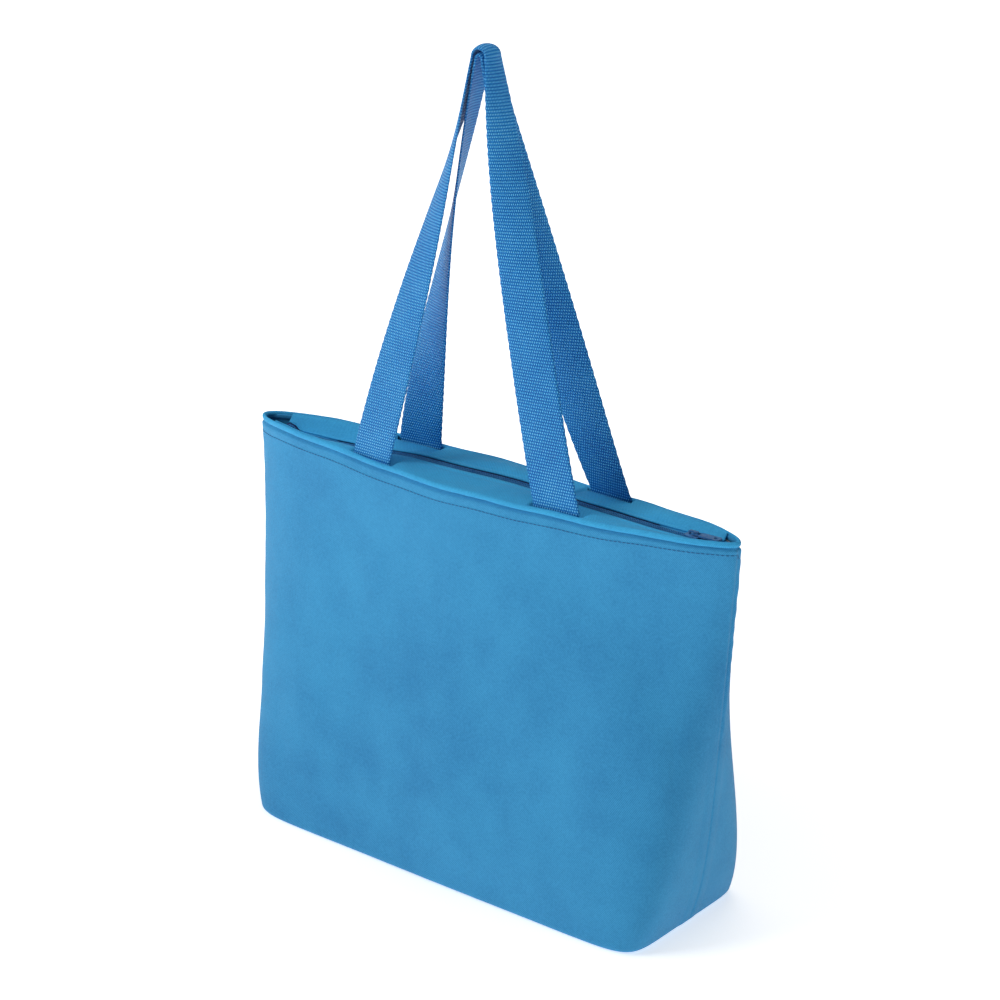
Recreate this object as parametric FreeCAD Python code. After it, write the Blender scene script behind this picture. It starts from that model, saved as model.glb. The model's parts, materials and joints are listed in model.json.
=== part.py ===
import FreeCAD, Part
import math
import os

from FreeCAD import Vector

# Insulated cooler bag: X is its width, -Y its front, +Z up, origin under the middle of the base.

# Shell
panel_top = 297.5          # upper edge of the outer panels
top_half_width = 219.0
top_half_depth = 37.0
bottom_half_depth = 70.0
side_taper = 21.6          # how much each side leans in from the rim to the base
corner_tuck = 13.0         # extra pull-in of the boxed bottom corners
corner_tuck_height = 30.0
bottom_radius = 5.0
above_rim = 8.0            # the layers are drawn up to here, then cut off at their own tops
depth_bow = 1.15           # exponent of the front's slight belly, seen from the side
panel_thickness = 1.0
layer_gap = 0.15
foam_thickness = 3.85
liner_thickness = 0.5
foam_drop = 27.0           # the foam stops this far below the rim, where the straps are sewn in

# Plan outline: |x / half_width|^p + |y / half_depth|^q = 1
base_outline_power_x = 14.0
rim_outline_power_x = 1.5
base_outline_power_y = 9.0
rim_outline_power_y = 2.0
outline_power_fade = 3.0
outline_steps = 10         # poles along a quarter of the outline

# Rim roll and base board
roll_outset = 1.5
roll_inset = 3.1
roll_height = 3.95
roll_lift = 0.05
board_half_width = 170.0
board_half_depth = 57.0
board_corner = 26.0
board_thickness = 2.4

# Seam bindings inside the liner
binding_width = 11.0
binding_thickness = 1.4
binding_gap = 0.15
binding_bottom = 16.0
binding_drop = 12.0

# Carrying straps
strap_half_width = 19.4
strap_thickness = 1.6
strap_base_x = 87.0
strap_inset = 3.4
strap_tail_length = 25.0
strap_tail_top = 301.4
strap_start = 302.7
strap_base_y = 27.8
strap_base_yaw = 4.2
front_turn_power = 2.6     # how late each strap turns edge-on to the mouth
back_turn_power = 1.2
front_close_power = 1.3    # how late each strap leans in to the middle
back_close_power = 1.0
strap_peak_half_width = 13.0
strap_gather_power = 3.0
front_arch_radius = 10.0
back_arch_radius = 5.0
arch_centre = 602.0
leg_sections = 9
arch_sections = 5

# Zip
zip_half_length = 150.0    # the part that opens
zip_end = 204.0
zip_gap = 0.4
zip_centre = 295.5
zip_width = 32.0
facing_inset = 5.9
facing_thickness = 1.0
facing_edge = 8.0
tape_half_thickness = 0.35
tape_edge = 13.0
coil_inner = 0.6
coil_outer = 3.2
coil_half_height = 1.2
coil_end = 201.0
stop_length = 2.6
stop_half_width = 3.8

# Slider and pull
slider_x = 182.0
slider_half_length = 6.0
slider_half_width = 4.8
slider_nose_half_width = 3.6
slider_plate = 1.0
slider_clearance = 0.3
slider_lip_height = 0.6
slider_lip_width = 0.6
slider_post_half_width = 0.3
bridge_half_length = 4.0
bridge_half_width = 1.0
bridge_height = 2.8
bridge_wall = 1.0
pull_length = 22.0
pull_half_width = 3.4
pull_thickness = 1.2
pull_bar_radius = 0.5
pull_axis_lift = 0.9       # above the slider's top plate
pull_arm_gap = 1.4
pull_arm_width = 1.2
pull_plate_start = 5.6
pull_hole_radius = 1.4


def save(shape, name):
    shape.exportStep(os.path.join("parts", name + ".step"))
    print(name, "valid", shape.isValid(), "solids", len(shape.Solids), "volume", round(shape.Volume, 1))


def box(x0, x1, y0, y1, z0, z1):
    return Part.makeBox(x1 - x0, y1 - y0, z1 - z0, Vector(x0, y0, z0))


def mirrored(shape, normal):
    return shape.mirror(Vector(0, 0, 0), normal)


def to_back(shape):
    return mirrored(shape, Vector(0, 1, 0))


def to_left(shape):
    return mirrored(shape, Vector(1, 0, 0))


# ---------------------------------------------------------------- shell outline

def base_share(z):
    return max(0.0, 1.0 - z / panel_top)


def half_width(z):
    return top_half_width - side_taper * (1.0 - z / panel_top) - corner_tuck * math.exp(-z / corner_tuck_height)


def half_depth(z):
    rise = min(1.0, z / panel_top)
    return top_half_depth + (bottom_half_depth - top_half_depth) * (1.0 - rise ** depth_bow)


def bottom_rounding(z, inset):
    radius = max(bottom_radius - inset, 1.0)
    short = max(0.0, radius - (z - inset))
    return radius - math.sqrt(radius * radius - short * short)


def outline_point(angle, z, inset):
    """A point of the front right quarter; angle runs from 0 at the side seam to a right angle at the middle."""
    rounding = bottom_rounding(z, inset)
    width = half_width(z) - inset - rounding
    depth = half_depth(z) - inset - rounding
    fade = base_share(z) ** outline_power_fade
    power_x = rim_outline_power_x + (base_outline_power_x - rim_outline_power_x) * fade
    power_y = rim_outline_power_y + (base_outline_power_y - rim_outline_power_y) * fade
    x = width * max(0.0, math.cos(angle)) ** (2.0 / power_x)
    return Vector(x, -depth * math.sin(angle) ** (2.0 / power_y), z)


def front_curve(z, inset):
    """Front half of the plan outline at height z, from +X round to -X."""
    angles = [math.pi / 2 * index / outline_steps for index in range(outline_steps)]
    right = [outline_point(angle, z, inset) for angle in angles]
    middle = [Vector(0, -half_depth(z) + inset + bottom_rounding(z, inset), z)]
    left = [Vector(-point.x, point.y, z) for point in reversed(right)]
    curve = Part.BSplineCurve()
    curve.buildFromPoles(right + middle + left, False, 3)
    return curve.toShape()


def front_section(z, inset, overlap=0.0):
    """Closed plan section of the front half; overlap carries it past the middle plane."""
    curve = front_curve(z, inset)
    right = curve.Vertexes[0].Point
    left = curve.Vertexes[-1].Point
    if overlap == 0.0:
        return Part.Wire([curve, Part.makeLine(left, right)])
    right_past = right + Vector(0, overlap, 0)
    left_past = left + Vector(0, overlap, 0)
    lines = [Part.makeLine(left, left_past), Part.makeLine(left_past, right_past),
             Part.makeLine(right_past, right)]
    return Part.Wire([curve] + lines)


def front_solid(inset, overlap=0.0):
    """The front half of the bag's volume, drawn in by inset, from its floor to above the rim."""
    radius = max(bottom_radius - inset, 1.0)
    heights = [inset, inset + 0.15 * radius, inset + 0.5 * radius, inset + radius]
    heights += [30.0, 55.0, 95.0, 150.0, 205.0, 255.0, panel_top, panel_top + above_rim]
    return Part.makeLoft([front_section(z, inset, overlap) for z in heights], True, True)


def front_layer(outer_inset, inner_inset, top):
    layer = front_solid(outer_inset).cut(front_solid(inner_inset, 6.0))
    return layer.common(box(-250.0, 250.0, -100.0, 0.0, -1.0, top))


foam_inset = panel_thickness + layer_gap
liner_inset = foam_inset + foam_thickness + layer_gap
cavity_inset = liner_inset + liner_thickness


def outer_panel():
    return front_layer(0.0, panel_thickness, panel_top)


def foam_layer():
    return front_layer(foam_inset, foam_inset + foam_thickness, panel_top - foam_drop)


def liner():
    return front_layer(liner_inset, cavity_inset, panel_top - 0.5)


def base_board():
    bottom = cavity_inset + layer_gap
    board = box(-board_half_width, board_half_width, -board_half_depth, board_half_depth,
                bottom, bottom + board_thickness)
    corners = [edge for edge in board.Edges if abs(edge.tangentAt(edge.FirstParameter).z) > 0.9]
    return board.makeFillet(board_corner, corners)


def side_binding():
    inset = cavity_inset + binding_gap
    strip = front_layer(inset, inset + binding_thickness, panel_top)
    keep = box(100.0, 230.0, -binding_width / 2, 0.0, binding_bottom, panel_top - binding_drop)
    front_half = strip.common(keep)
    return front_half.fuse(to_back(front_half)).removeSplitter()


# ---------------------------------------------------------------- rim

def rim_band(outer_inset, inner_inset, bottom, height):
    """A band that follows the front half of the rim, with upright walls."""
    outer = Part.Face(front_section(panel_top, outer_inset))
    inner = Part.Face(front_section(panel_top, inner_inset, 6.0))
    band = outer.cut(inner)
    band.translate(Vector(0, 0, bottom - panel_top))
    return band.extrude(Vector(0, 0, height))


def rim_roll():
    return rim_band(-roll_outset, roll_inset, panel_top + roll_lift, roll_height)


def rim_area(inset, bottom, height):
    """Everything inside the front half of the rim, drawn in by inset."""
    area = Part.Face(front_section(panel_top, inset))
    area.translate(Vector(0, 0, bottom - panel_top))
    return area.extrude(Vector(0, 0, height))


# ---------------------------------------------------------------- straps

def strap_tails():
    """Both sewn-in ends of the front strap, between the outer panel and the liner."""
    sheet = front_layer(strap_inset, strap_inset + strap_thickness, strap_tail_top)
    keep = box(strap_base_x - strap_half_width, strap_base_x + strap_half_width, -60.0, -5.0,
               panel_top - strap_tail_length, strap_tail_top + 1.0)
    right = sheet.common(keep)
    return Part.makeCompound([right.Solids[0], to_left(right).Solids[0]])


def strap_section(centre, across, through, half_width_here):
    half = across * half_width_here
    thick = through * (strap_thickness / 2)
    corners = [centre + half + thick, centre - half + thick, centre - half - thick, centre + half - thick]
    return Part.makePolygon(corners + corners[:1])


def leg_section(step, arch_radius, turn_power, close_power, side, depth_side):
    """Section of one leg; step goes from 0 at the rim to 1 under the arch.

    side is 1 for the +X leg and -1 for the other, depth_side is -1 for the front strap and 1 for the back one.
    Both straps turn the same way as they rise, so that they lie one over the other at their peak.
    """
    x = strap_base_x + (arch_radius - strap_base_x) * step
    y = depth_side * strap_base_y * (1.0 - step ** close_power)
    z = strap_start + (arch_centre - strap_start) * step
    yaw = -depth_side * strap_base_yaw
    turn = math.radians(yaw + (90.0 - yaw) * step ** turn_power)
    across = Vector(side * math.cos(turn), math.sin(turn), 0)
    through = Vector(side * math.sin(turn), -math.cos(turn), 0)
    gathered = strap_half_width - strap_peak_half_width
    return strap_section(Vector(side * x, y, z), across, through,
                         strap_half_width - gathered * step ** strap_gather_power)


def arch_section(angle, arch_radius):
    through = Vector(math.cos(angle), 0, math.sin(angle))
    centre = Vector(0, 0, arch_centre) + through * arch_radius
    return strap_section(centre, Vector(0, 1, 0), through, strap_peak_half_width)


def strap_loop(arch_radius, turn_power, close_power, depth_side):
    """A whole carrying loop, from the rim over its peak and back down to the rim."""
    steps = [index / (leg_sections - 1) for index in range(leg_sections)]
    shape = (arch_radius, turn_power, close_power)
    right = [leg_section(step, *shape, 1, depth_side) for step in steps]
    left = [leg_section(step, *shape, -1, depth_side) for step in reversed(steps)]
    angles = [math.pi * (index + 1) / (arch_sections + 1) for index in range(arch_sections)]
    arch = [arch_section(angle, arch_radius) for angle in angles]
    return Part.makeLoft(right + arch + left, True, False)


# ---------------------------------------------------------------- zip

def facing():
    area = rim_area(facing_inset, zip_centre + tape_half_thickness, facing_thickness)
    return area.common(box(-zip_half_length, zip_half_length, -zip_width, -facing_edge, 280.0, 310.0))


def zip_tape():
    return box(-zip_half_length, zip_half_length, -tape_edge, -coil_outer,
               zip_centre - tape_half_thickness, zip_centre + tape_half_thickness)


def coil_bar(x0, x1):
    bar = box(x0, x1, -coil_outer, -coil_inner, zip_centre - coil_half_height, zip_centre + coil_half_height)
    along = [edge for edge in bar.Edges if abs(edge.tangentAt(edge.FirstParameter).x) > 0.9]
    upper = [edge for edge in along if edge.CenterOfMass.z > zip_centre]
    return bar.makeFillet(0.8, upper)


def zip_end_piece():
    """The closed end of the zip at +X: tape and facing sewn down as one flat piece."""
    area = rim_area(facing_inset, zip_centre - tape_half_thickness, 2 * tape_half_thickness)
    area = area.fuse(to_back(area)).removeSplitter()
    keep = box(zip_half_length + zip_gap, zip_end + 3.0, -zip_width, zip_width, 280.0, 310.0)
    slot = box(zip_half_length, coil_end, -coil_outer, coil_outer, 280.0, 310.0)
    return area.common(keep).cut(slot)


def zip_end_coils():
    front = coil_bar(zip_half_length + zip_gap, coil_end)
    right = [front, to_back(front)]
    return Part.makeCompound(right + [to_left(bar) for bar in right])


def zip_stops():
    stop = box(coil_end - stop_length, coil_end, -stop_half_width, stop_half_width,
               zip_centre + coil_half_height, zip_centre + coil_half_height + slider_plate)
    edges = [edge for edge in stop.Edges if edge.CenterOfMass.z > zip_centre + coil_half_height + 0.9]
    stop = stop.makeFillet(0.3, edges)
    return Part.makeCompound([stop, to_left(stop)])


# ---------------------------------------------------------------- slider and pull

plate_low = zip_centre + coil_half_height + slider_clearance
plate_top = plate_low + slider_plate
pull_axis_z = plate_top + pull_axis_lift


def slider_outline():
    """Plan of a slider plate, wide at the open end and narrow at the closed one."""
    points = [Vector(slider_x + slider_half_length, -slider_half_width, 0),
              Vector(slider_x + slider_half_length, slider_half_width, 0),
              Vector(slider_x, slider_half_width, 0),
              Vector(slider_x - slider_half_length, slider_nose_half_width, 0),
              Vector(slider_x - slider_half_length, -slider_nose_half_width, 0),
              Vector(slider_x, -slider_half_width, 0)]
    return Part.Face(Part.makePolygon(points + points[:1]))


def slider_plate_at(bottom):
    plate = slider_outline().extrude(Vector(0, 0, slider_plate))
    upright = [edge for edge in plate.Edges if abs(edge.tangentAt(edge.FirstParameter).z) > 0.9]
    plate = plate.makeFillet(1.0, upright)
    plate.translate(Vector(0, 0, bottom))
    return plate


def slider_body():
    lower_top = zip_centre - coil_half_height - slider_clearance
    body = slider_plate_at(plate_low).fuse(slider_plate_at(lower_top - slider_plate))
    post = box(slider_x + 1.0, slider_x + 5.0, -slider_post_half_width, slider_post_half_width,
               lower_top - 0.5, plate_low + 0.5)
    body = body.fuse(post)
    for edge in (-slider_half_width, slider_half_width - slider_lip_width):
        lip = box(slider_x + 0.4, slider_x + 4.6, edge, edge + slider_lip_width,
                  plate_low - slider_lip_height, plate_low + 0.5)
        body = body.fuse(lip)
    return body.removeSplitter()


def slider_bridge():
    outer = box(slider_x - bridge_half_length, slider_x + bridge_half_length,
                -bridge_half_width, bridge_half_width, plate_top, plate_top + bridge_height)
    upper = [edge for edge in outer.Edges
             if abs(edge.tangentAt(edge.FirstParameter).y) > 0.9 and edge.CenterOfMass.z > plate_top + 1.0]
    outer = outer.makeFillet(1.2, upper)
    opening = box(slider_x - bridge_half_length + bridge_wall, slider_x + bridge_half_length - bridge_wall,
                  -5.0, 5.0, plate_top - 1.0, plate_top + bridge_height - bridge_wall)
    return outer.cut(opening)


def pull_tab():
    """The pull lies towards +X; its bar runs along Y under the bridge."""
    bar_end = pull_arm_gap + pull_arm_width
    bar = Part.makeCylinder(pull_bar_radius, 2 * bar_end, Vector(slider_x, -bar_end, pull_axis_z), Vector(0, 1, 0))
    low = pull_axis_z - pull_thickness / 2
    plate = box(slider_x + pull_plate_start, slider_x + pull_length, -pull_half_width, pull_half_width,
                low, low + pull_thickness)
    upright = [edge for edge in plate.Edges if abs(edge.tangentAt(edge.FirstParameter).z) > 0.9]
    plate = plate.makeFillet(1.8, upright)
    hole = Part.makeCylinder(pull_hole_radius, 4.0,
                             Vector(slider_x + pull_length - 4.0, 0, pull_axis_z - 2.0), Vector(0, 0, 1))
    pull = plate.cut(hole).fuse(bar)
    for edge in (-bar_end, pull_arm_gap):
        arm = box(slider_x - pull_bar_radius, slider_x + pull_plate_start + 2.0, edge, edge + pull_arm_width,
                  pull_axis_z - pull_bar_radius, pull_axis_z + pull_bar_radius)
        pull = pull.fuse(arm)
    return pull.removeSplitter()


# ---------------------------------------------------------------- all nodes

os.makedirs("parts", exist_ok=True)

paired = {
    "outer_{}_panel": outer_panel(),
    "foam_{}": foam_layer(),
    "liner_{}": liner(),
    "{}_rim_roll": rim_roll(),
    "{}_handle_ends": strap_tails(),
    "{}_facing": facing(),
    "{}_zip_tape": zip_tape(),
    "{}_zip_coil": coil_bar(-zip_half_length, zip_half_length),
}
for pattern, shape in paired.items():
    save(shape, pattern.format("front"))
    save(to_back(shape), pattern.format("back"))

sides = {"{}_seam_binding": side_binding(), "{}_zip_end": zip_end_piece()}
for pattern, shape in sides.items():
    save(shape, pattern.format("right"))
    save(to_left(shape), pattern.format("left"))

save(base_board(), "base_board")
save(zip_end_coils(), "zip_end_coils")
save(zip_stops(), "zip_stops")
save(slider_body(), "slider_body")
save(slider_bridge(), "slider_bridge")
save(pull_tab(), "pull_tab")
save(strap_loop(front_arch_radius, front_turn_power, front_close_power, -1), "front_handle")
save(strap_loop(back_arch_radius, back_turn_power, back_close_power, 1), "back_handle")
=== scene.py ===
import json
import math

import bpy
import numpy as np
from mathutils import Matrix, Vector, noise


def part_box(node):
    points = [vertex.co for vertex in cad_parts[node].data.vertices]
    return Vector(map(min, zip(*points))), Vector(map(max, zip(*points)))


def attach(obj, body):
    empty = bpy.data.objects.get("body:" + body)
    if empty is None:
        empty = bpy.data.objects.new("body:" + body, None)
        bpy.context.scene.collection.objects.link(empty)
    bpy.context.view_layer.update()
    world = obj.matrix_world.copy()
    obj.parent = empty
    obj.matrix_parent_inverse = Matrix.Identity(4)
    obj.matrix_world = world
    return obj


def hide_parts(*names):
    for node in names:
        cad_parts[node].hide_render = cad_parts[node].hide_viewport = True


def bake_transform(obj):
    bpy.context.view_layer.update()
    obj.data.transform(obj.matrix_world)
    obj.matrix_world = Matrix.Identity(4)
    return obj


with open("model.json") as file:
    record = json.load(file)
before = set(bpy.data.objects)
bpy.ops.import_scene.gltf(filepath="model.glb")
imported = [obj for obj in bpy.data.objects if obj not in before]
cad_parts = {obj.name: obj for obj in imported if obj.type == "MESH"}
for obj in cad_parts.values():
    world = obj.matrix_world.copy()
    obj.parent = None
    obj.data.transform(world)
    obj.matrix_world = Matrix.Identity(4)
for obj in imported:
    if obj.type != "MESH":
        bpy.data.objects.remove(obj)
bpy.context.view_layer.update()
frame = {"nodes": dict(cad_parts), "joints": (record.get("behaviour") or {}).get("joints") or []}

# Everything is in metres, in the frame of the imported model. MM turns a size in millimetres into metres.
# A side is -1 for the front and 1 for the back.
MM = 0.001
node_side = {-1: "front", 1: "back"}

# ---------------------------------------------------------------- sizes read from the frame

panel_low, panel_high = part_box("outer_front_panel")
roll_low, roll_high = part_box("front_rim_roll")
coil_low, coil_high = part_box("front_zip_coil")
end_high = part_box("right_zip_end")[1]
strap_low, strap_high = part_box("front_handle")
back_strap_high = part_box("back_handle")[1]

roll_overhang = 1.5 * MM
zip_end_margin = 4 * MM
peak_margin = 0.8 * MM

panel_top = roll_low[2]
rim_top = roll_high[2]
rim_half_width = panel_high[0]
base_half_depth = -panel_low[1]
rim_half_depth = -roll_low[1] - roll_overhang
zip_height = (coil_low[2] + coil_high[2]) / 2
coil_outer = -coil_low[1]
zip_half_length = coil_high[0]
zip_reach = end_high[0] - zip_end_margin
strap_start = strap_low[2]

# ---------------------------------------------------------------- shape of the shell

side_taper = 21.6 * MM
corner_tuck = 13 * MM
corner_tuck_height = 30 * MM
bottom_radius = 5 * MM
depth_bow = 1.15
base_power_x = 14.0
rim_power_x = 1.5
base_power_y = 9.0
rim_power_y = 2.0
power_fade = 3.0
quarter_steps = 500
back_rim_phase = 1.7
rim_rise_left = 5.5 * MM
rim_dip_back = 0.4 * MM
rim_wave_long = 0.5 * MM
rim_wave_short = 0.35 * MM
lean_reach = 5 * MM
lean_bulge = 4 * MM


def smooth(value, start, end):
    """0 before start, 1 after end, and an even S-curve between; start may be above end."""
    share = np.clip((value - start) / (end - start), 0, 1)
    return share * share * (3 - 2 * share)


def bump(value, centre, width):
    """1 at the centre, and a soft fall to 0 on both sides."""
    return np.exp(-((value - centre) / width) ** 2)


def half_width(z):
    return (rim_half_width - side_taper * (1 - z / panel_top)
            - corner_tuck * math.exp(-z / corner_tuck_height))


def half_depth(z):
    rise = min(1.0, max(0.0, z / panel_top))
    return rim_half_depth + (base_half_depth - rim_half_depth) * (1 - rise ** depth_bow)


def outline(z, inset, around):
    """Plan outline at height z, drawn in by inset. around runs 0..1 from the +X seam past the front."""
    short = max(0.0, bottom_radius - z)
    rounding = bottom_radius - math.sqrt(bottom_radius ** 2 - short ** 2)
    width = half_width(z) - inset - rounding
    depth = half_depth(z) - inset - rounding
    fade = max(0.0, 1 - z / panel_top) ** power_fade
    power_x = rim_power_x + (base_power_x - rim_power_x) * fade
    power_y = rim_power_y + (base_power_y - rim_power_y) * fade
    angle = np.linspace(0, math.pi / 2, quarter_steps)
    quarter_x = width * np.cos(angle) ** (2 / power_x)
    quarter_y = depth * np.sin(angle) ** (2 / power_y)
    length = np.concatenate([[0], np.cumsum(np.hypot(np.diff(quarter_x), np.diff(quarter_y)))])
    length /= length[-1]
    turn = np.mod(around, 1.0) * 4
    share = 1 - np.abs(1 - np.mod(turn, 2))
    x = np.interp(share, length, quarter_x) * np.where((turn > 1) & (turn < 3), -1, 1)
    y = np.interp(share, length, quarter_y) * np.where(turn < 2, -1, 1)
    return x, y


def rim_y(x):
    """Half depth of the rim at x."""
    share = np.clip(np.abs(x) / rim_half_width, 0, 1)
    return rim_half_depth * np.sqrt(1 - share ** rim_power_x)


def rim_lift(x, side):
    """The rim isn't level: it rises to the left, and it waves a little, out of step front and back."""
    phase = np.where(np.asarray(side) < 0, 0.0, back_rim_phase)
    left = rim_rise_left * smooth(x, 60 * MM, -200 * MM) - rim_dip_back * phase * bump(x, 40 * MM, 90 * MM)
    wave = (rim_wave_long * np.sin(x / (29 * MM) + phase)
            + rim_wave_short * np.sin(x / (11 * MM) + 2 * phase))
    return left + wave * smooth(np.abs(x), rim_half_width, rim_half_width - 25 * MM)


def left_lean(x, z):
    """The loaded bag sags to its left near the rim, so that side stands nearly upright."""
    reach = lean_reach * smooth(z, 70 * MM, 180 * MM) + lean_bulge * bump(z, 195 * MM, 55 * MM)
    return -reach * smooth(x, -80 * MM, -190 * MM)


def rough(points, scale, seed):
    """Smooth noise, about -1..1, at every point of a list."""
    shift = Vector((seed * 7.3, seed * 3.1, seed * 5.7))
    return np.array([noise.noise(Vector(point) / scale + shift) for point in points])


# ---------------------------------------------------------------- mesh helpers

def new_piece(name, vertices, faces):
    """A smooth-shaded mesh object in the scene."""
    mesh = bpy.data.meshes.new(name)
    mesh.from_pydata(np.asarray(vertices, float).tolist(), [], faces)
    mesh.polygons.foreach_set("use_smooth", [True] * len(mesh.polygons))
    piece = bpy.data.objects.new(name, mesh)
    bpy.context.scene.collection.objects.link(piece)
    return piece


def grid_mesh(name, points, uv, closed_across=False, cap_ends=False):
    """A mesh over a grid of points[row][column]; uv(row, column) is in metres of cloth."""
    rows, columns = points.shape[:2]
    faces = []
    corners = []
    last = columns if closed_across else columns - 1
    for row in range(rows - 1):
        for column in range(last):
            following = (column + 1) % columns
            faces.append((row * columns + column, (row + 1) * columns + column,
                          (row + 1) * columns + following, row * columns + following))
            corners.append(((row, column), (row + 1, column), (row + 1, column + 1), (row, column + 1)))
    if cap_ends:
        faces.append(tuple(range(columns)))
        faces.append(tuple((rows - 1) * columns + column for column in reversed(range(columns))))
        corners.append(tuple((0, column) for column in range(columns)))
        corners.append(tuple((rows - 1, column) for column in reversed(range(columns))))
    piece = new_piece(name, points.reshape(-1, 3), faces)
    flat = [uv(*corner) for face in corners for corner in face]
    layer = piece.data.uv_layers.new(name="cloth")
    layer.data.foreach_set("uv", np.array(flat, np.float32).ravel())
    return piece


def distances(points):
    """Distance along a line of points, from its first one."""
    return np.concatenate([[0], np.cumsum(np.linalg.norm(np.diff(points, axis=0), axis=1))])


def normals_of(points):
    """Unit normals of a grid of points whose columns run all the way round."""
    across = np.roll(points, -1, axis=1) - np.roll(points, 1, axis=1)
    up = np.gradient(points, axis=0)
    normal = np.cross(up, across)
    return normal / np.maximum(np.linalg.norm(normal, axis=2, keepdims=True), 1e-12)


def thicken(piece, thickness, offset):
    """Give cloth its thickness. offset -1 grows it inwards, and 0 to both sides."""
    modifier = piece.modifiers.new("cloth thickness", "SOLIDIFY")
    modifier.thickness = thickness
    modifier.offset = offset
    modifier.use_even_offset = True


def paint(piece, material):
    piece.data.materials.clear()
    piece.data.materials.append(material)


def bend_with(piece, weights, hinge):
    """Bakes the piece's transform into its points; it doesn't bend, and the weights are not used."""
    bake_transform(piece)
    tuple(hinge)


def stitch_run(name, starts, ends, normals, radius):
    """Short, slightly arched threads, all in one mesh."""
    ring = 6
    stations = np.linspace(0, 1, 5)
    blunt_end = 0.06
    vertices = []
    faces = []
    for start, end, normal in zip(starts, ends, normals):
        along = (end - start) / max(np.linalg.norm(end - start), 1e-9)
        side = np.cross(along, normal)
        side /= max(np.linalg.norm(side), 1e-9)
        first = len(vertices)
        for share in stations:
            swell = math.sin(math.pi * min(max(share, blunt_end), 1 - blunt_end))
            centre = start + (end - start) * share + normal * radius * (1.5 * swell - 0.9)
            reach = radius * (0.55 + 0.45 * swell)
            for index in range(ring):
                angle = 2 * math.pi * index / ring
                vertices.append(centre + (side * math.cos(angle) + normal * math.sin(angle)) * reach)
        for station in range(len(stations) - 1):
            low = first + station * ring
            high = low + ring
            for index in range(ring):
                beside = (index + 1) % ring
                faces.append((low + index, high + index, high + beside, low + beside))
        last = first + (len(stations) - 1) * ring
        faces.append(tuple(first + index for index in range(ring)))
        faces.append(tuple(last + index for index in reversed(range(ring))))
    return new_piece(name, vertices, faces)


# ---------------------------------------------------------------- materials

def srgb(red, green, blue):
    """Linear colour from everyday 0..255 values."""
    def linear(value):
        share = value / 255
        return share / 12.92 if share <= 0.04045 else ((share + 0.055) / 1.055) ** 2.4
    return linear(red), linear(green), linear(blue), 1.0


class Nodes:
    """A short hand for building one material's node tree."""

    def __init__(self, name):
        self.material = bpy.data.materials.new(name)
        self.material.use_nodes = True
        self.tree = self.material.node_tree
        self.shader = self.tree.nodes["Principled BSDF"]

    def add(self, kind, **settings):
        node = self.tree.nodes.new(kind)
        for key, value in settings.items():
            setattr(node, key, value)
        return node

    def link(self, output, socket):
        self.tree.links.new(output, socket)

    def feed(self, socket, value):
        """Link an output, or set a constant number or colour."""
        if isinstance(value, (int, float, tuple)):
            socket.default_value = value
        else:
            self.link(value, socket)

    def math(self, operation, first, second=0.0, third=0.0):
        node = self.add("ShaderNodeMath", operation=operation)
        for socket, value in zip(node.inputs, (first, second, third)):
            self.feed(socket, value)
        return node.outputs[0]

    def place(self, source="Object"):
        return self.add("ShaderNodeTexCoord").outputs[source]

    def axes(self, source):
        split = self.add("ShaderNodeSeparateXYZ")
        self.link(self.place(source), split.inputs[0])
        return split.outputs

    def noise(self, scale, detail=3.0, roughness=0.55):
        """Noise in the piece's own space; a larger scale is finer."""
        node = self.add("ShaderNodeTexNoise")
        self.link(self.place(), node.inputs["Vector"])
        node.inputs["Scale"].default_value = scale
        node.inputs["Detail"].default_value = detail
        node.inputs["Roughness"].default_value = roughness
        return node.outputs["Fac"]

    def waves(self, value, pitch, shift=0.0):
        """0..1 ripples with the given pitch, in metres."""
        turned = self.math("MULTIPLY_ADD", value, 2 * math.pi / pitch, shift)
        return self.math("MULTIPLY_ADD", self.math("SINE", turned), 0.5, 0.5)

    def mix(self, share, first, second):
        node = self.add("ShaderNodeMix", data_type="RGBA")
        for socket, value in ((node.inputs[0], share), (node.inputs[6], first), (node.inputs[7], second)):
            self.feed(socket, value)
        return node.outputs[2]

    def ramp(self, value, stops):
        node = self.add("ShaderNodeValToRGB")
        self.feed(node.inputs[0], value)
        elements = node.color_ramp.elements
        for element, (position, colour) in zip(elements, stops[:2]):
            element.position = position
            element.color = colour
        for position, colour in stops[2:]:
            elements.new(position).color = colour
        return node.outputs[0]

    def colour(self, output):
        self.link(output, self.shader.inputs["Base Color"])

    def bumps(self, height, distance, strength):
        node = self.add("ShaderNodeBump")
        self.link(height, node.inputs["Height"])
        node.inputs["Distance"].default_value = distance
        node.inputs["Strength"].default_value = strength
        self.link(node.outputs[0], self.shader.inputs["Normal"])

    def finish(self, roughness, sheen=0.0, specular=0.5):
        self.shader.inputs["Roughness"].default_value = roughness
        self.shader.inputs["Sheen Weight"].default_value = sheen
        self.shader.inputs["Specular IOR Level"].default_value = specular
        return self.material


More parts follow.
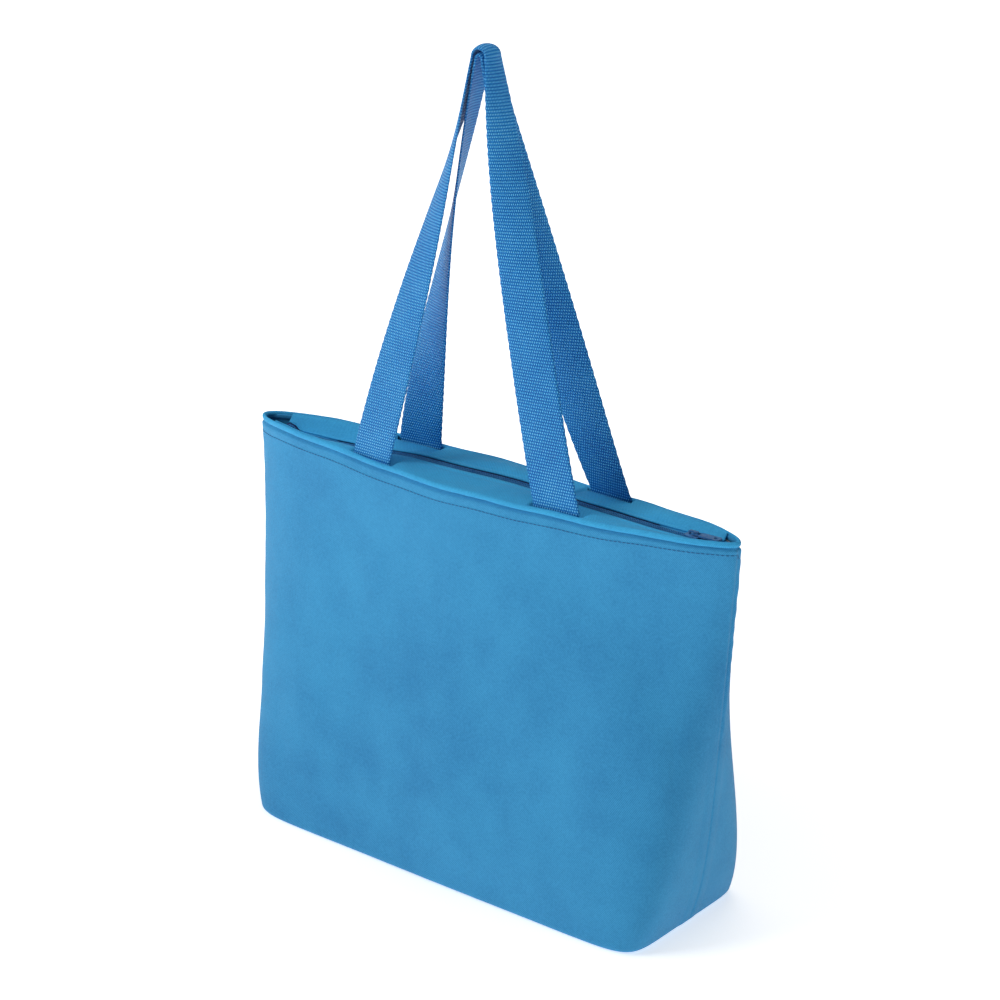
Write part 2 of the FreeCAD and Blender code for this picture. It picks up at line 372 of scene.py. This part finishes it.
def woven_cloth(name, low, high, pitch, roughness=0.68):
    """Plain-woven polyester: crossing yarns, slubs, patches of faint twill and slow changes of shade."""
    n = Nodes(name)
    axes = n.axes("UV")
    warp = n.waves(axes[0], pitch)
    weft = n.waves(axes[1], pitch, 1.3)
    over = n.waves(n.math("ADD", axes[0], axes[1]), 2 * pitch)
    weft_shown = n.math("MULTIPLY", weft, n.math("SUBTRACT", 1.0, over))
    yarns = n.math("ADD", n.math("MULTIPLY", warp, over), weft_shown)
    slub = n.noise(900.0, 2.0)
    cloud = n.noise(8.0)
    twill = n.waves(n.math("MULTIPLY_ADD", axes[0], 1.4, axes[1]), 3.4 * pitch)
    patches = n.math("MULTIPLY", n.noise(30.0, 2.0), 0.5)
    grain = n.math("MULTIPLY_ADD", n.noise(600.0, 2.0), 0.3, n.math("MULTIPLY", twill, patches))
    level = n.math("MULTIPLY_ADD", yarns, 0.3, n.math("MULTIPLY_ADD", cloud, 0.34, grain))
    n.colour(n.ramp(level, [(0.24, low), (0.76, high)]))
    height = n.math("MULTIPLY_ADD", slub, 0.5, yarns)
    n.bumps(n.math("MULTIPLY_ADD", grain, 1.2, height), 0.12 * MM, 0.55)
    return n.finish(roughness, sheen=0.05, specular=0.25)


def webbing_cloth(name, low, high, bright):
    """Polypropylene webbing: rows of short floats, every other row shifted, with bright yarn tops."""
    row_pitch = 2.2 * MM
    float_pitch = 1.9 * MM
    n = Nodes(name)
    axes = n.axes("UV")
    row = n.math("FLOOR", n.math("DIVIDE", axes[1], row_pitch))
    shifted = n.math("MULTIPLY_ADD", row, float_pitch / 2, axes[0])
    across = n.waves(shifted, float_pitch)
    along = n.waves(axes[1], row_pitch, -math.pi / 2)
    cell = n.math("MULTIPLY", n.math("POWER", across, 0.8), n.math("POWER", along, 0.7))
    fibre = n.noise(900.0)
    cloud = n.noise(22.0)
    level = n.math("MULTIPLY_ADD", cell, 0.62, n.math("MULTIPLY", cloud, 0.25))
    level = n.math("MULTIPLY_ADD", fibre, 0.2, level)
    n.colour(n.ramp(level, [(0.2, low), (0.6, high), (0.95, bright)]))
    n.bumps(cell, 0.5 * MM, 0.8)
    return n.finish(0.5, specular=0.22)


def foil_film():
    """Silver lining film: fine creases and an embossed diamond grid."""
    diamond = 7 * MM
    n = Nodes("foil_film")
    axes = n.axes("Object")
    first = n.waves(n.math("ADD", axes[0], axes[2]), diamond)
    second = n.waves(n.math("SUBTRACT", axes[0], axes[2]), diamond)
    creases = n.noise(60.0, 6.0, 0.7)
    n.colour(n.ramp(creases, [(0.3, srgb(176, 182, 188)), (0.7, srgb(226, 229, 232))]))
    n.bumps(n.math("MULTIPLY_ADD", creases, 1.5, n.math("MAXIMUM", first, second)), 0.4 * MM, 0.6)
    n.shader.inputs["Metallic"].default_value = 0.75
    return n.finish(0.32)


def foam_plastic():
    """White foam with closed cells."""
    n = Nodes("foam_plastic")
    cells = n.add("ShaderNodeTexVoronoi")
    n.link(n.place(), cells.inputs["Vector"])
    cells.inputs["Scale"].default_value = 700.0
    n.colour(n.ramp(cells.outputs["Distance"], [(0.1, srgb(214, 218, 221)), (0.7, srgb(240, 242, 243))]))
    n.bumps(cells.outputs["Distance"], 0.3 * MM, 0.7)
    return n.finish(0.8)


def moulded(name, low, high, roughness):
    """Moulded plastic with a fine grain."""
    n = Nodes(name)
    n.colour(n.ramp(n.noise(40.0), [(0.3, low), (0.7, high)]))
    n.bumps(n.noise(500.0, 4.0), 0.06 * MM, 0.5)
    return n.finish(roughness)


def painted_metal():
    """The slider's enamel, a little worn along its edges."""
    most_wear = 0.2
    n = Nodes("painted_metal")
    edge = n.add("ShaderNodeNewGeometry").outputs["Pointiness"]
    wear = n.math("MULTIPLY", n.math("SUBTRACT", edge, 0.57), 5.0)
    spots = n.noise(900.0, 4.0)
    share = n.math("MULTIPLY", n.math("MAXIMUM", wear, 0.0), n.math("GREATER_THAN", spots, 0.5))
    enamel = n.ramp(n.noise(200.0), [(0.3, srgb(30, 92, 150)), (0.7, srgb(52, 124, 184))])
    n.colour(n.mix(n.math("MINIMUM", share, most_wear), enamel, srgb(170, 178, 186)))
    n.bumps(spots, 0.03 * MM, 0.4)
    n.shader.inputs["Coat Weight"].default_value = 0.3
    return n.finish(0.3)


shell_cloth = woven_cloth("shell_cloth", srgb(12, 102, 162), srgb(62, 162, 214), 0.55 * MM)
# The facing is the shell's own fabric painted lighter: painted light that lifts the shade in the sunken
# mouth, also on the rim roll and the zip ends.
facing_cloth_with_painted_light = woven_cloth("facing_cloth_with_painted_light", srgb(12, 118, 182), srgb(62, 178, 230), 0.55 * MM)
binding_cloth = woven_cloth("binding_cloth", srgb(24, 62, 104), srgb(36, 84, 132), 0.8 * MM)
tape_cloth = woven_cloth("tape_cloth", srgb(2, 26, 74), srgb(8, 46, 100), 0.5 * MM)
webbing = webbing_cloth("webbing", srgb(4, 88, 166), srgb(40, 158, 226), srgb(156, 226, 248))
# The thread is painted darker than the shell: painted shade for the groove that the topstitches sit in.
thread_with_painted_shade = woven_cloth("thread_with_painted_shade", srgb(18, 70, 122), srgb(36, 98, 150), 0.3 * MM, roughness=0.5)
coil_nylon = moulded("coil_nylon", srgb(30, 112, 178), srgb(60, 152, 214), 0.35)
board_plastic = moulded("board_plastic", srgb(30, 31, 33), srgb(44, 45, 47), 0.55)
foil = foil_film()
foam = foam_plastic()
metal = painted_metal()


# ---------------------------------------------------------------- shell

shell_thickness = 0.7 * MM
around_steps = 640
even_points = np.arange(around_steps) / around_steps
# the columns crowd together at the two side seams
seam_points = even_points - 0.055 * np.sin(4 * math.pi * even_points)

strap_pull_x = 87 * MM
strap_pull_depth = 2.2 * MM
belly = 2.4 * MM
low_corner_dip = 2.5 * MM
# soft upright folds beside the side seams: distance from the seam, and depth
side_folds = ((26 * MM, -1.8 * MM), (40 * MM, 1.2 * MM))
seam_depth = 0.9 * MM
seam_stand = 0.6 * MM
deepest_dent = 0.1 * MM
rim_tuck = 1.9 * MM
topstitch_drop = 8.8 * MM
topstitch_rise = 3.2 * MM
topstitch_groove = 0.35 * MM


def shell_heights():
    """Heights of the wall's rows: close together at the base and at the stitched rim."""
    base = bottom_radius * (1 - np.cos(np.linspace(0, math.pi / 2, 7)))
    middle = np.linspace(bottom_radius + 2.2 * MM, panel_top - 16 * MM, 100)
    rim = np.linspace(panel_top - 15 * MM, panel_top + 1.5 * MM, 22)
    return np.concatenate([base, middle, rim])


def topstitch_line(x, front):
    """Height of the stitches below the rim. On the front they rise to the right."""
    wave = 0.3 * MM * np.sin(x / (31 * MM) + np.where(front, 0.0, 2.0))
    rise = topstitch_rise * smooth(x, 40 * MM, 200 * MM) * front
    return panel_top - topstitch_drop + wave + rise


def cloth_waves(points, free):
    """Broad and middling waves, weak where the cloth isn't free, and fine ones everywhere."""
    flat = points.reshape(-1, 3)
    shape = points.shape[:2]
    broad = rough(flat, 95 * MM, seed=1).reshape(shape) * 1.5 * MM
    medium = rough(flat * [1, 1, 0.6], 38 * MM, seed=2).reshape(shape) * 0.9 * MM
    fine = rough(flat, 13 * MM, seed=3).reshape(shape) * 0.22 * MM
    return (broad + medium) * (0.25 + 0.75 * free) + fine


def soft_folds(x, from_seam, z):
    """The loaded straps pull the wall in below each leg. It bulges between them and folds by the seams."""
    out = belly * bump(x, 0, 70 * MM) * bump(z, 90 * MM, 70 * MM)
    for leg_x in (-strap_pull_x, strap_pull_x):
        out -= strap_pull_depth * bump(x, leg_x, 34 * MM) * bump(z, panel_top - 26 * MM, 26 * MM)
    upright = (smooth(z, 20 * MM, 90 * MM) * smooth(z, panel_top + 10 * MM, 200 * MM)
               * np.where(x > 0, 1.0, 0.6))
    for distance, depth in side_folds:
        out += depth * bump(from_seam, distance, 9 * MM) * upright
    return out


def seam_puckers(from_seam, z):
    """Ridges on both sides of the side seam, with small puckers."""
    pucker = 0.5 + 0.5 * np.sin(z / (2.1 * MM) + 2.5 * np.sin(z / (17 * MM)))
    ridge = bump(from_seam, 3.2 * MM, 2.2 * MM) * smooth(z, 6 * MM, 18 * MM)
    return (0.7 + 0.35 * pucker) * MM * ridge


def topstitch_dents(x, z, front):
    """A shallow groove with small puckers, and the swell above it."""
    height = topstitch_line(x, front)
    ripple = 0.6 + 0.4 * np.sin(x / (1.1 * MM))
    return (0.3 * MM * bump(z, height + 4 * MM, 2.6 * MM)
            - topstitch_groove * bump(z, height, 1.0 * MM) * ripple)


def shell_dents(points):
    """How far the cloth stands out of or sinks into its plain shape."""
    x, y, z = np.moveaxis(points, -1, 0)
    from_seam = np.abs(y)
    free = smooth(z, 4 * MM, 45 * MM) * smooth(z, panel_top, panel_top - 30 * MM)
    out = cloth_waves(points, free) + soft_folds(x, from_seam, z) + seam_puckers(from_seam, z)
    out += topstitch_dents(x, z, y < 0)
    out -= low_corner_dip * bump(z, 60 * MM, 60 * MM) * smooth(np.abs(x), 140 * MM, 185 * MM)
    out += 0.5 * MM * free
    seam = bump(from_seam, 0, 1.1 * MM) * smooth(z, 2 * MM, 12 * MM)
    out = np.maximum(out, seam_stand * smooth(from_seam, 12 * MM, 5 * MM)) - seam_depth * seam
    out = np.maximum(out, -deepest_dent)
    return out - rim_tuck * smooth(z, panel_top - 3.2 * MM, panel_top - 0.4 * MM)


def plain_wall():
    """Rings of the wall, from the base to the rim, before any dents."""
    rings = []
    for height in shell_heights():
        x, y = outline(height, 0.0, seam_points)
        rings.append(np.stack([x, y, np.full(around_steps, height)], axis=1))
    return np.array(rings)


def plain_floor(lowest_ring):
    """Rings of the flat base, from its middle line to the wall's lowest ring."""
    rings = []
    for share in (0.0, 0.12, 0.3, 0.5, 0.7, 0.86, 0.95):
        ring = lowest_ring.copy()
        ring[:, 0] *= 1 - 0.12 * (1 - share)
        ring[:, 1] *= max(share, 1e-3)
        ring[:, 2] += 1.0 * MM * bump(share, 0, 0.05)
        rings.append(ring)
    return np.array(rings)


def shell_wall():
    """Rings of the wall with its dents, lean and uneven rim."""
    wall = plain_wall()
    out = shell_dents(wall)
    outward = normals_of(wall)
    outward[..., 2] *= smooth(wall[..., 2], 0, 12 * MM)
    wall = wall + outward * out[..., None]
    lift = rim_lift(wall[..., 0], wall[..., 1])
    wall[..., 0] += left_lean(wall[..., 0], wall[..., 2])
    wall[..., 2] += lift * smooth(wall[..., 2], 0.12, panel_top)
    return wall


def build_shell(wall):
    """The outer cloth: the wall and the flat base in one piece."""
    points = np.concatenate([plain_floor(plain_wall()[0]), wall])
    girth = float(distances(wall[len(wall) // 2])[-1])
    travel = np.concatenate([[0], np.cumsum(np.linalg.norm(np.diff(points, axis=0), axis=2).mean(axis=1))])

    def uv(row, column):
        return girth * (seam_points[column] if column < around_steps else 1.0), travel[row]

    piece = grid_mesh("shell", points, uv, closed_across=True)
    thicken(piece, shell_thickness, -1.0)
    paint(piece, shell_cloth)
    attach(piece, "root")
    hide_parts("outer_front_panel", "outer_back_panel")


def build_topstitches(wall):
    """One row of lockstitches round the bag, below the rim."""
    stitch = 3.4 * MM
    gap = 0.7 * MM
    heights = shell_heights()
    outward = normals_of(wall)
    columns = np.arange(around_steps)
    x, y = outline(panel_top, 0.0, seam_points)
    level = np.interp(topstitch_line(x, y < 0), heights, np.arange(len(heights)))
    below = level.astype(int)
    share = (level - below)[:, None]
    line = wall[below, columns] * (1 - share) + wall[below + 1, columns] * share
    loop = np.vstack([line, line[:1]])
    loop_normals = np.vstack([outward[below, columns], outward[below, columns][:1]])
    length = distances(loop)
    count = int(length[-1] / stitch)
    begin = np.arange(count) * length[-1] / count
    finish = begin + length[-1] / count - gap

    def at(distance, source):
        return np.stack([np.interp(distance, length, source[:, axis]) for axis in range(3)], axis=1)

    lean = at(begin, loop_normals)
    above_cloth = lean * 0.15 * MM
    piece = stitch_run("rim_topstitch", at(begin, loop) + above_cloth, at(finish, loop) + above_cloth,
                       lean, 0.3 * MM)
    paint(piece, thread_with_painted_shade)
    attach(piece, "root")


wall_points = shell_wall()
build_shell(wall_points)
build_topstitches(wall_points)


# ---------------------------------------------------------------- rim roll

def build_roll():
    """The facing cloth turned over the panels' edge, all round the rim."""
    steps = 720
    ring = 18
    half_thickness = 1.9 * MM
    half_height = 2.2 * MM
    cloth_round_roll = 15 * MM
    rim_length = 2.05 * (rim_half_width * 2)
    around = np.arange(steps) / steps
    x, y = outline(panel_top, 0.3 * MM, around)
    inner_x, inner_y = outline(panel_top, 2.2 * MM, around)
    height = panel_top + 1.7 * MM + rim_lift(x, y)
    middle = np.stack([(x + inner_x) / 2, (y + inner_y) / 2, height], axis=1)
    out = np.stack([x - inner_x, y - inner_y, np.zeros(steps)], axis=1)
    out /= np.linalg.norm(out, axis=1, keepdims=True)
    uneven = rough(middle, 16 * MM, seed=5) * 0.35 * MM + rough(middle, 5 * MM, seed=6) * 0.15 * MM
    points = np.zeros((steps, ring, 3))
    for index in range(ring):
        angle = 2 * math.pi * index / ring
        points[:, index] = middle + out * (math.cos(angle) * (half_thickness + uneven))[:, None]
        points[:, index, 2] += math.sin(angle) * (half_height + 0.5 * uneven)
    points[..., 0] += left_lean(points[..., 0], points[..., 2])
    points = points[:, ::-1]
    closed = np.concatenate([points, points[:1]])

    def uv(row, column):
        return rim_length * row / steps, cloth_round_roll * column / ring

    piece = grid_mesh("rim_roll", closed, uv, closed_across=True)
    weld = piece.modifiers.new("close the loop", "WELD")
    weld.merge_threshold = 0.01 * MM
    paint(piece, facing_cloth_with_painted_light)
    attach(piece, "root")
    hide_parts("front_rim_roll", "back_rim_roll")


build_roll()


# ---------------------------------------------------------------- facing and zip

facing_thickness = 1.0 * MM
tape_thickness = 0.6 * MM
tape_width = 10.5 * MM
zip_wave_long = 2.4 * MM
zip_wave_short = 1.1 * MM
zip_stand = 4.2 * MM
zip_wave_up = 1.3 * MM
zip_stand_left = 3.0 * MM
zip_end_proud = 5 * MM

front_hinge = next(joint for joint in frame["joints"] if joint["child"] == "front_flap")["pos_m"]
hinges = {side: (0.0, side * abs(front_hinge[1]), front_hinge[2]) for side in node_side}
# where the right and the left leg of each strap come out of the rim
strap_feet = {-1: (85 * MM, -87 * MM), 1: (91 * MM, -87 * MM)}


def near_park(x):
    """1 where the slider parks at either end, and the zip has to be straight; 0 elsewhere."""
    return smooth(np.abs(x), 60 * MM, 165 * MM) * smooth(np.abs(x), 200 * MM, 192 * MM)


def free_zip(x):
    """1 where the zip may wander: away from the parked slider and from the sewn ends."""
    return (1 - near_park(x)) * smooth(np.abs(x), 200 * MM, 185 * MM)


def zip_sway(x):
    """Sideways wander of the zip."""
    wander = zip_wave_long * np.sin(x / (42 * MM) + 0.6) + zip_wave_short * np.sin(x / (17 * MM))
    return wander * free_zip(x)


def zip_rise(x):
    """Up and down wander of the zip, with its left end standing proud."""
    wander = (zip_stand + zip_wave_up * np.sin(x / (33 * MM) + 2.0)
              + zip_stand_left * smooth(x, 20 * MM, -120 * MM))
    return wander * free_zip(x) + zip_end_proud * smooth(x, -189 * MM, -203 * MM)


def flap_share(x):
    """A share for each x along the zip: all of it in the middle, none at the ends."""
    return smooth(np.abs(x), zip_half_length + 12 * MM, zip_half_length - 14 * MM)


def strap_gap(x, side):
    """1 where a strap leg passes between the roll and the facing."""
    right, left = strap_feet[side]
    away = np.abs(x - np.where(x > 0, right, left))
    return smooth(away, 23.5 * MM, 20.5 * MM)


def facing_profile(x, side):
    """Where the facing starts, beside the roll, and where its folded edge is, beside the zip: y, z, y, z."""
    gap = strap_gap(x, side)
    start_y = np.maximum(rim_y(x) - 2.0 * MM - 3.7 * MM * gap, 5.2 * MM)
    start_z = rim_top - 0.9 * MM + rim_lift(x, side) - 3.0 * MM * gap
    start_z = np.maximum(start_z, panel_top + 0.4 * MM)
    return start_y, start_z, coil_outer + 1.9 * MM, zip_height + 1.1 * MM + zip_rise(x)


def build_flap_cloth(name, side, points, weights, row_step, thickness, material):
    """A grid of cloth along the zip. The back's rows are reversed to face out."""
    if side > 0:
        points = points[::-1]
        weights = weights[::-1]
    x = points[0, :, 0]

    def uv(row, column):
        return x[min(column, len(x) - 1)], row * row_step

    piece = grid_mesh(name, points, uv)
    bend_with(piece, weights, hinges[side])
    thicken(piece, thickness, 0.0)
    paint(piece, material)
    return piece


def build_facing(side):
    """Cloth from the rim roll to its folded edge beside the zip."""
    columns = 420
    rows = 26
    x = np.linspace(-zip_reach, zip_reach, columns)
    start_y, start_z, edge_y, edge_z = facing_profile(x, side)
    share = np.linspace(0, 1, rows)[:, None]
    arch = np.sin(math.pi * share)
    y = start_y + (edge_y - start_y) * share
    slack = arch * (0.8 * MM + 1.6 * MM * np.sin(x / (26 * MM) + side * 1.2))
    z = start_z + (edge_z - start_z) * smooth(share, 0, 1) + slack * smooth(np.abs(x), zip_reach, 150 * MM)
    points = np.stack([np.tile(x, (rows, 1)), side * y + zip_sway(x) * share, z], axis=2)
    points[..., 2] -= bump(share, 0.86, 0.06) * 0.5 * MM
    crumple = rough(points.reshape(-1, 3), 14 * MM, seed=8 + side).reshape(rows, columns)
    points[..., 2] += crumple * 0.8 * MM * arch
    weights = smooth(share, 0.04, 0.4) * flap_share(x)
    piece = build_flap_cloth(node_side[side] + "_facing_cloth_with_painted_light", side, points, weights, 1.0 * MM,
                             facing_thickness, facing_cloth_with_painted_light)
    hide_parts(node_side[side] + "_facing")


def build_tape(side):
    """Woven tape under the facing's edge, up to the coil."""
    columns = 300
    rows = 5
    x = np.linspace(-zip_reach, zip_reach, columns)
    inner = coil_outer - 1.2 * MM
    outer = np.minimum(inner + tape_width, np.maximum(rim_y(x) - 6 * MM, inner + 2.4 * MM))
    y = outer + (inner - outer) * np.linspace(0, 1, rows)[:, None]
    start_y, start_z, edge_y, edge_z = facing_profile(x, side)
    share = np.clip((start_y - y) / (start_y - edge_y), 0, 1)
    room = (0.9 + 1.3 * np.sin(math.pi * share)) * MM
    under_facing = start_z + (edge_z - start_z) * smooth(share, 0, 1) - room
    z = np.minimum(zip_height - 0.2 * MM + zip_rise(x), under_facing)
    points = np.stack([np.tile(x, (rows, 1)), side * y + zip_sway(x), z], axis=2)
    weights = np.tile(flap_share(x), (rows, 1))
    piece = build_flap_cloth(node_side[side] + "_tape", side, points, weights, 2.0 * MM,
                             tape_thickness, tape_cloth)
    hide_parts(node_side[side] + "_zip_tape")


def coil_turn(centre, half_y, half_z, wire, side, turn_points, ring):
    """Points of one flattened turn of wire."""
    vertices = []
    for step in range(turn_points):
        angle = 2 * math.pi * step / turn_points
        offset = np.array([0.22 * MM * math.sin(angle), side * half_y * math.cos(angle),
                           half_z * math.sin(angle)])
        outward = np.array([0.0, side * math.cos(angle), math.sin(angle)])
        for index in range(ring):
            tube = 2 * math.pi * index / ring
            around_wire = math.cos(tube) * outward + math.sin(tube) * np.array([1.0, 0, 0])
            vertices.append(centre + offset + wire * around_wire)
    return vertices


def build_coil(side):
    """Nylon coil: one flattened turn after another, which mesh with the other side's turns."""
    pitch = 1.5 * MM
    wire = 0.36 * MM
    turn_points = 14
    ring = 6
    end_margin = 3 * MM
    overlap = 0.25 * MM
    centre_y = (coil_outer - overlap) / 2
    half_y = (coil_outer + overlap) / 2
    half_z = 1.05 * MM
    first_x = -zip_reach + end_margin + (pitch / 2 if side > 0 else 0)
    count = int(2 * (zip_reach - end_margin) / pitch)
    turn_x = first_x + np.arange(count) * pitch
    vertices = []
    faces = []
    for x, sway, rise in zip(turn_x, zip_sway(turn_x), zip_rise(turn_x)):
        first = len(vertices)
        centre = np.array([x, side * centre_y + sway, zip_height + rise])
        vertices += coil_turn(centre, half_y, half_z, wire, side, turn_points, ring)
        for step in range(turn_points):
            low = first + step * ring
            high = first + (step + 1) % turn_points * ring
            for index in range(ring):
                beside = (index + 1) % ring
                face = (low + index, low + beside, high + beside, high + index)
                faces.append(face if side < 0 else face[::-1])
    piece = new_piece(node_side[side] + "_coil", vertices, faces)
    weights = np.repeat(flap_share(turn_x), turn_points * ring)
    bend_with(piece, weights, hinges[side])
    paint(piece, coil_nylon)
    replaced = [node_side[side] + "_zip_coil"] + (["zip_end_coils"] if side < 0 else [])
    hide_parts(*replaced)


for flap_side in node_side:
    build_facing(flap_side)
    build_tape(flap_side)
    build_coil(flap_side)


# ---------------------------------------------------------------- carrying straps

strap_half_width = 19.2 * MM
peak_half_width = 9 * MM
strap_base_x = strap_high[0] - strap_half_width
strap_thickness = 1.7 * MM
strap_inset = 4.2 * MM
strap_yaw = math.radians(4.2)
gather_power = 1.6
tail_step = 2.5 * MM
tail_steps = 8
leg_steps = 190
arch_steps = 24
edge_scallop = 0.25 * MM
scallop_pitch = 2.2 * MM
bend_height = 16 * MM
handle_axes = {joint["child"]: joint["pos_m"] for joint in frame["joints"] if "pos_m" in joint}

# cup bends the webbing across its width at the peak; the powers say how late the legs turn and close;
# sways push the middle of the right and the left leg sideways
strap_loops = {
    -1: {"arch_radius": 8 * MM, "peak": strap_high[2] - peak_margin, "cup": 0.5,
         "turn_power": 2.6, "close_power": 1.3, "sways": (-2 * MM, 0.0)},
    1: {"arch_radius": 4 * MM, "peak": back_strap_high[2] - peak_margin, "cup": 0.35,
        "turn_power": 1.2, "close_power": 0.8, "sways": (-6 * MM, -3.5 * MM)},
}


def strap_leg(side, loop, hand, foot, sway):
    """Centre, turn, cup and half width from the sewn tail up to the arch. hand is 1 right and -1 left."""
    base_y = float(rim_y(strap_base_x)) - strap_inset
    yaw = -side * strap_yaw
    arch_centre = loop["peak"] - loop["arch_radius"]
    shift = foot - hand * strap_base_x
    lift = float(rim_lift(hand * strap_base_x, side))
    wall_slope = (half_depth(panel_top - 40 * MM) - half_depth(panel_top)) / (40 * MM)
    leg = []
    for index in range(tail_steps):
        depth = (tail_steps - index) * tail_step
        centre = np.array([foot, side * (base_y + depth * wall_slope), strap_start - depth + lift])
        leg.append((centre, yaw, 0.0, strap_half_width))
    for index in range(leg_steps + 1):
        step = index / leg_steps
        gather = step ** gather_power
        x = strap_base_x + (loop["arch_radius"] - strap_base_x) * step
        drift = sway * math.sin(math.pi * step) + shift * (1 - step)
        y = base_y * (1 - step ** loop["close_power"])
        z = strap_start + lift * (1 - step) + (arch_centre - strap_start) * step
        turn = yaw + (math.pi / 2 - yaw) * step ** loop["turn_power"]
        half = strap_half_width + (peak_half_width - strap_half_width) * gather
        leg.append((np.array([hand * x + drift, side * y, z]), turn, loop["cup"] * gather, half))
    return leg


def leg_frames(leg, hand):
    """Centre, direction across the webbing, direction through it, cup and half width."""
    frames = []
    for centre, turn, cup, half in leg:
        across = np.array([hand * math.cos(turn), math.sin(turn), 0.0])
        through = np.array([hand * math.sin(turn), -math.cos(turn), 0.0])
        frames.append((centre, across, through, cup, half))
    return frames


def arch_frames(loop):
    """The same for the small arch at the peak, from right to left."""
    arch_centre = np.array([0.0, 0.0, loop["peak"] - loop["arch_radius"]])
    frames = []
    for angle in np.linspace(0, math.pi, arch_steps + 1)[1:-1]:
        through = np.array([math.cos(angle), 0.0, math.sin(angle)])
        centre = arch_centre + through * loop["arch_radius"]
        frames.append((centre, np.array([0.0, 1.0, 0.0]), through, loop["cup"], peak_half_width))
    return frames


def strap_section(frame_here, scallop, places):
    """Points round the webbing: over its outer face and back over the inner one."""
    centre, across, through, cup, half = frame_here
    bend = max(cup, 1e-3)
    section = []
    for face, face_places in ((1.0, places), (-1.0, places[::-1])):
        for place in face_places:
            width = half + scallop * abs(place) ** 8
            lean = place * bend
            sideways = math.sin(lean) / bend * width
            dip = (1 - math.cos(lean)) / bend * width
            edge = math.sqrt(max(0.0, 1 - abs(place) ** 14))
            thick = strap_thickness / 2 * (0.35 + 0.65 * edge)
            normal = through * math.cos(lean) + across * math.sin(lean)
            section.append(centre + across * sideways - through * dip + normal * thick * face)
    return section


def build_strap(side):
    """One continuous strap: sewn tail, leg, peak, leg, sewn tail. Both straps turn the same way."""
    loop = strap_loops[side]
    right, left = [leg_frames(strap_leg(side, loop, hand, foot, sway), hand)
                   for hand, foot, sway in zip((1, -1), strap_feet[side], loop["sways"])]
    frames = right + arch_frames(loop) + left[::-1]
    travel = distances(np.array([frame_here[0] for frame_here in frames]))
    ring_half = 22
    places = np.linspace(-1, 1, ring_half)
    scallops = edge_scallop * np.sin(travel * 2 * math.pi / scallop_pitch)
    points = np.array([strap_section(frame_here, scallop, places)
                       for frame_here, scallop in zip(frames, scallops)])
    points = points[:, ::-1]

    def uv(row, column):
        across = column if column < ring_half else 2 * ring_half - column
        return across * 2 * strap_half_width / ring_half, travel[min(row, len(frames) - 1)]

    piece = grid_mesh(node_side[side] + "_strap", points, uv, closed_across=True, cap_ends=True)
    bend_start = rim_top - 1.5 * MM
    weights = smooth(points[..., 2], bend_start, bend_start + bend_height)
    node = node_side[side] + "_handle"
    bend_with(piece, weights, tuple(handle_axes[node]))
    paint(piece, webbing)
    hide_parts(node, node + "_ends")


for strap_side in node_side:
    build_strap(strap_side)


# ---------------------------------------------------------------- carried-over parts

carried = {
    "foam_front": foam, "foam_back": foam, "liner_front": foil, "liner_back": foil,
    "base_board": board_plastic, "left_seam_binding": binding_cloth, "right_seam_binding": binding_cloth,
    "left_zip_end": facing_cloth_with_painted_light, "right_zip_end": facing_cloth_with_painted_light, "zip_stops": metal,
    "slider_body": metal, "slider_bridge": metal, "pull_tab": metal,
}
for node_name, material in carried.items():
    for slot in frame["nodes"][node_name].material_slots:
        slot.material = material


# ---------------------------------------------------------------- studio

floor_half = 60.0
glow_start = 0.52
glow_per_metre = 0.5
glow_limit = 1.2
lamp_target = (0, 0, 0.2)
camera_aim = Vector((26.8, -17.9, 293.6)) * MM
camera_place = Vector((1040.3, -1265.0, 853.2)) * MM
camera_lens_mm = 85.8
sensor_width_mm = 36
world_strength = 0.16
white = (1, 1, 1, 1)


def build_floor():
    """A pale sweep that glows more away from the bag, where the lamps don't reach."""
    n = Nodes("studio_floor")
    n.colour(n.ramp(n.noise(3.0), [(0.3, (0.86, 0.86, 0.86, 1)), (0.7, (0.89, 0.89, 0.89, 1))]))
    reach = n.add("ShaderNodeVectorMath", operation="LENGTH")
    n.link(n.place(), reach.inputs[0])
    glow = n.math("MULTIPLY_ADD", reach.outputs["Value"], glow_per_metre, glow_start)
    n.link(n.math("MINIMUM", glow, glow_limit), n.shader.inputs["Emission Strength"])
    n.shader.inputs["Emission Color"].default_value = white
    corners = np.array([[[x, y, 0] for x in (-floor_half, floor_half)] for y in (-floor_half, floor_half)])

    def uv(row, column):
        return float(column), float(row)

    floor = grid_mesh("studio_floor", corners, uv)
    paint(floor, n.finish(0.7))


def area_light(name, position, size, power):
    """A round white lamp that points at the bag."""
    data = bpy.data.lights.new(name, "AREA")
    data.shape = "DISK"
    data.size = size
    data.energy = power
    light = bpy.data.objects.new(name, data)
    light.location = position
    light.rotation_euler = (Vector(lamp_target) - Vector(position)).to_track_quat("-Z", "Y").to_euler()
    bpy.context.scene.collection.objects.link(light)


def build_camera():
    data = bpy.data.cameras.new("camera")
    data.sensor_width = sensor_width_mm
    data.lens = camera_lens_mm
    camera = bpy.data.objects.new("camera", data)
    camera.location = camera_place
    camera.rotation_euler = (camera_aim - camera_place).to_track_quat("-Z", "Y").to_euler()
    bpy.context.scene.collection.objects.link(camera)
    bpy.context.scene.camera = camera


def build_world():
    world = bpy.data.worlds.new("studio")
    world.use_nodes = True
    background = world.node_tree.nodes["Background"]
    background.inputs["Color"].default_value = white
    background.inputs["Strength"].default_value = world_strength
    bpy.context.scene.world = world


build_floor()
area_light("key", (-1.2, -1.5, 1.7), 1.2, 24)
area_light("fill", (1.6, -0.9, 0.9), 1.4, 0.3)
area_light("top", (0.0, 0.2, 1.8), 1.0, 9)
build_camera()
build_world()
bpy.context.scene.view_settings.view_transform = "Standard"
